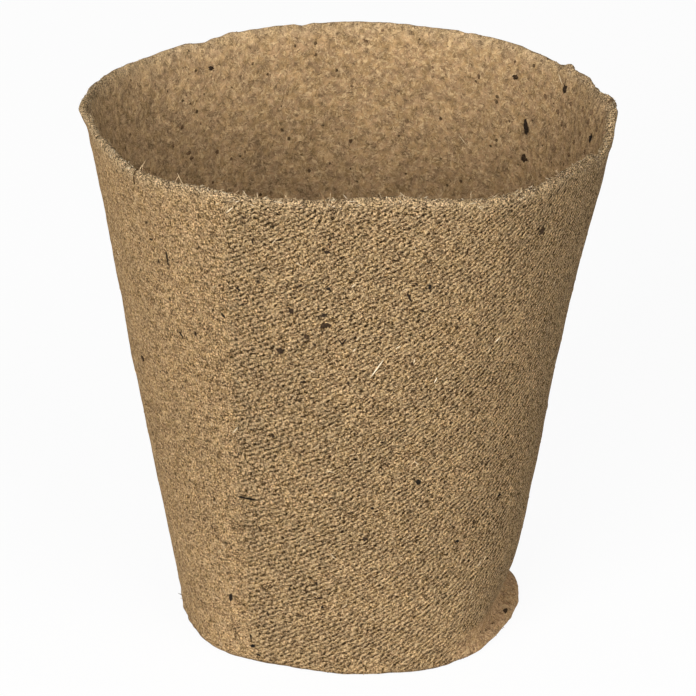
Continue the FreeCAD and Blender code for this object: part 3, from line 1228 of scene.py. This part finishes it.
# Crumbs of bark and charred root in the felt. The larger ones are placed by their pixels in the
# picture, with their width and height in pixels and their lean in degrees, clockwise; the fine ones
# are strewn over the whole wall.
crumb_pixels = (
    (325.3, 325.5, 8.0, 4.0, 0.0),
    (323.9, 315.3, 5.0, 3.0, 0.0),
    (318.4, 309.0, 2.5, 2.5, 0.0),
    (306.5, 336.7, 4.0, 3.5, 20.0),
    (314.5, 344.7, 3.5, 1.6, -35.0),
    (328.4, 289.0, 4.0, 2.5, 0.0),
    (299.8, 285.8, 4.5, 1.5, 25.0),
    (409.6, 297.9, 1.8, 8.0, 22.0),
    (423.0, 311.3, 4.5, 1.5, -20.0),
    (340.4, 342.0, 1.3, 5.5, 32.0),
    (344.2, 341.5, 1.3, 6.0, -36.0),
    (302.5, 381.8, 5.5, 1.5, 20.0),
    (348.0, 383.0, 2.6, 2.4, 0.0),
    (412.3, 364.0, 3.0, 3.0, 0.0),
    (327.0, 252.0, 4.5, 3.0, 15.0),
    (291.0, 311.0, 4.0, 5.0, 10.0),
    (281.0, 350.5, 5.5, 4.0, 0.0),
    (273.0, 436.0, 3.0, 3.0, 0.0),
    (238.0, 289.0, 4.2, 1.8, -28.0),
    (242.0, 304.6, 5.5, 1.4, 32.0),
    (252.4, 241.5, 1.5, 5.0, 8.0),
    (223.0, 315.5, 1.6, 5.0, 35.0),
    (167.4, 259.0, 1.4, 12.0, 2.0),
    (158.8, 261.6, 2.4, 2.8, 0.0),
    (151.3, 239.3, 3.0, 2.0, 20.0),
    (181.2, 334.5, 2.0, 6.0, 30.0),
    (195.5, 333.3, 1.8, 5.0, 0.0),
    (143.3, 358.6, 2.2, 4.5, 15.0),
    (247.6, 498.5, 16.0, 1.7, 5.0),
    (259.7, 528.5, 1.6, 6.0, 18.0),
    (231.0, 596.7, 3.2, 7.0, -14.0),
    (268.0, 614.0, 2.2, 4.0, 15.0),
    (250.8, 637.0, 1.5, 5.5, 0.0),
    (252.7, 645.8, 5.0, 2.2, 25.0),
    (258.4, 654.7, 4.0, 2.0, -15.0),
    (289.7, 589.0, 2.0, 3.2, -10.0),
    (319.6, 598.0, 5.0, 1.8, 20.0),
    (316.5, 584.0, 2.0, 3.0, 0.0),
    (322.2, 607.0, 2.4, 2.4, 0.0),
    (365.0, 539.0, 5.0, 3.0, 0.0),
    (418.0, 482.0, 5.0, 4.0, 0.0),
    (372.0, 508.0, 3.0, 2.6, 0.0),
    (430.0, 287.0, 2.6, 4.0, 0.0),
    (542.0, 231.0, 4.5, 5.0, 10.0),
    (499.0, 495.0, 2.6, 3.0, 0.0),
    (457.0, 541.0, 3.0, 2.6, 0.0),
    (505.5, 611.0, 2.8, 2.6, 0.0),
    (526.3, 127.0, 3.6, 12.0, 22.0),
    (524.0, 158.5, 5.0, 6.0, 0.0),
    (515.4, 77.0, 4.5, 4.0, 0.0),
    (565.0, 89.0, 3.0, 7.0, -5.0),
    (479.0, 76.0, 2.0, 5.0, 8.0),
    (555.0, 149.0, 2.0, 6.0, -15.0),
    (591.0, 138.0, 2.0, 8.0, -8.0),
    (569.0, 155.0, 2.0, 3.0, 0.0),
    (562.0, 124.0, 2.0, 4.0, 0.0),
    (558.0, 112.0, 2.2, 4.0, 0.0),
    (211.0, 68.0, 4.0, 4.0, 0.0),
    (189.0, 153.0, 4.0, 3.0, 0.0),
    (366.0, 41.0, 4.0, 3.0, 0.0),
    (611.0, 101.0, 2.5, 4.0, 0.0),
    (545.5, 96.5, 3.0, 4.0, -10.0),
    (571.0, 104.0, 2.0, 3.5, 0.0),
    (583.0, 109.0, 1.8, 4.0, -10.0),
    (592.0, 113.0, 1.8, 4.0, 0.0),
    (588.5, 122.0, 1.8, 5.0, -8.0),
    (597.0, 129.0, 1.8, 5.5, -5.0),
    (603.0, 121.0, 1.8, 4.0, 0.0),
    (580.0, 134.0, 1.8, 4.0, 0.0),
    (574.0, 142.0, 1.6, 4.0, 0.0),
    (604.0, 133.0, 2.0, 4.0, 0.0),
    (585.0, 152.0, 1.6, 3.5, 0.0),
    (182.0, 127.0, 3.0, 3.0, 0.0),
    (173.0, 146.0, 2.2, 3.0, 0.0),
    (191.5, 158.0, 3.4, 3.6, 0.0),
    (217.0, 152.0, 3.0, 4.0, 0.0),
    (231.0, 159.0, 2.6, 3.0, 0.0),
)
fine_crumb_count = 800
crumb_height_share = 0.45
crumb_roughness = 1.0
crumb_cuts = 3
fine_crumb_cuts = 1
fine_crumb_least = 0.16 * mm
fine_crumb_extra = 0.34 * mm
crumb_spread = 4000.0
crumb_lumps = 4.5
least_foreshortening = 0.35
least_upward = 0.1
soft_crumb_pixels = 15.0


def add_crumb(shape, stand, normal, width, height, lean, cuts, shade):
    """Adds a rough crumb to a mesh: as wide and high as given on the felt, and half sunk in it."""
    up = Vector((0.0, 0.0, 1.0)) - normal * normal.z
    if up.length < least_upward:
        up = normal.orthogonal()
    up.normalize()
    up.rotate(Matrix.Rotation(lean, 3, normal))
    beside = up.cross(normal)
    made = bmesh.ops.create_icosphere(shape, subdivisions=cuts, radius=0.5)["verts"]
    tone_layer = shape.verts.layers.float["tone"]
    depth = min(width, height) * crumb_height_share
    for vert in made:
        knock = 1.0 + crumb_roughness * noise.noise(stand * crumb_spread + vert.co * crumb_lumps)
        spot = vert.co * knock
        vert.co = stand + beside * spot.x * width + up * spot.y * height + normal * spot.z * depth
        vert.co.z = max(vert.co.z, 0.0)
        vert[tone_layer] = shade


crumb_shape = bmesh.new()
crumb_shape.verts.layers.float.new("tone")
for across, down, wide, high, lean in crumb_pixels:
    stand, normal, _, _ = felt_tree.ray_cast(*pixel_ray((across, down)))
    up = (Vector((0.0, 0.0, 1.0)) - normal * normal.z).normalized()
    size_across = wide * pixel_size / max(abs(up.cross(normal).dot(view_right)), least_foreshortening)
    size_up = high * pixel_size / max(abs(up.dot(view_up)), least_foreshortening)
    soft = wide * high < soft_crumb_pixels and stand.xy.dot(normal.xy) < 0.0
    shade = random.uniform(0.7, 1.0) if soft else random.uniform(0.0, 0.25)
    lean = math.radians(lean)
    add_crumb(crumb_shape, stand, normal, size_across, size_up, lean, crumb_cuts, shade)
for index in range(fine_crumb_count):
    vert = random.choice(inside_stands if index % 3 == 0 else outside_stands)
    width = fine_crumb_least + fine_crumb_extra * random.uniform(0.0, 1.0) ** 3
    height = width * random.uniform(0.6, 1.5)
    shade = random.uniform(0.6, 1.0) if index % 3 == 0 else random.uniform(0.0, 0.6)
    lean = random.uniform(-1.5, 1.5)
    add_crumb(crumb_shape, vert.co, vert.normal, width, height, lean, fine_crumb_cuts, shade)

bark = toned_material(
    "bark",
    ((0.012, 0.010, 0.008, 1.0), (0.17, 0.105, 0.056, 1.0)),
    ((0.55, (0.075, 0.042, 0.02, 1.0)),),
    grain=(4.0, 3.0),
    shades=(0.5, 1.8),
    relief_size=0.2,
)
new_piece(crumb_shape, "bark_crumbs", bark)


# The floor and the light: a white table that fades into a white room, just under the pot. A soft lamp
# stands at the left of the front, and a weaker one at the right.
floor_gap = 0.05 * mm
floor_reach = 4000.0 * mm
room_strength = 0.30
shade_glow = 0.2
seen_glow = 0.73
lamp_distance = 1300.0 * mm

floor_shape = bmesh.new()
bmesh.ops.create_grid(floor_shape, x_segments=1, y_segments=1, size=floor_reach)
bmesh.ops.translate(floor_shape, verts=floor_shape.verts[:], vec=(0.0, 0.0, -floor_gap))
floor = finished_object(floor_shape, "floor")


def directly_seen(tree):
    """1 to the camera and in mirrored or see-through rays, 0 in the light that falls on the pot."""
    path = tree.nodes.new("ShaderNodeLightPath")
    mirrored = calculate(tree, "MAXIMUM", path.outputs["Is Glossy Ray"], path.outputs["Is Transmission Ray"])
    return calculate(tree, "MAXIMUM", path.outputs["Is Camera Ray"], mirrored)


floor_white = bpy.data.materials.new("floor white")
floor_white.use_nodes = True
tree = floor_white.node_tree
tree.nodes.clear()
paint = add_node(tree, "ShaderNodeBsdfDiffuse", (("Color", (0.9, 0.9, 0.9, 1.0)),))
glow = add_node(tree, "ShaderNodeEmission", (("Color", (1.0, 1.0, 1.0, 1.0)), ("Strength", 1.0)))
glow_share = calculate(tree, "MULTIPLY_ADD", directly_seen(tree), seen_glow, shade_glow)
blend = add_node(tree, "ShaderNodeMixShader", ((0, glow_share), (1, paint.outputs[0]), (2, glow.outputs[0])))
surface = tree.nodes.new("ShaderNodeOutputMaterial")
tree.links.new(blend.outputs[0], surface.inputs["Surface"])
floor.data.materials.append(floor_white)

world = bpy.data.worlds.new("white room")
bpy.context.scene.world = world
world.use_nodes = True
tree = world.node_tree
room = tree.nodes["Background"]
room.inputs["Color"].default_value = (1.0, 1.0, 1.0, 1.0)
tree.links.new(calculate(tree, "MAXIMUM", directly_seen(tree), room_strength), room.inputs["Strength"])

# The lamps: name, azimuth and elevation in degrees, width in metres and power in watts.
for lamp_name, azimuth, elevation, size, watts in (
    ("key_lamp", -116.0, 17.0, 0.8, 24.5),
    ("fill_lamp", -50.0, 28.0, 0.9, 8.5),
):
    lamp_data = bpy.data.lights.new(lamp_name, "AREA")
    lamp_data.size = size
    lamp_data.energy = watts
    lamp = put_in_scene(lamp_name, lamp_data)
    rise = math.radians(elevation)
    away = polar(math.radians(azimuth), lamp_distance * math.cos(rise), lamp_distance * math.sin(rise))
    lamp.location = pot_middle + away
    lamp.rotation_euler = (pot_middle - lamp.location).to_track_quat("-Z", "Y").to_euler()

bpy.context.scene.view_settings.view_transform = "Standard"
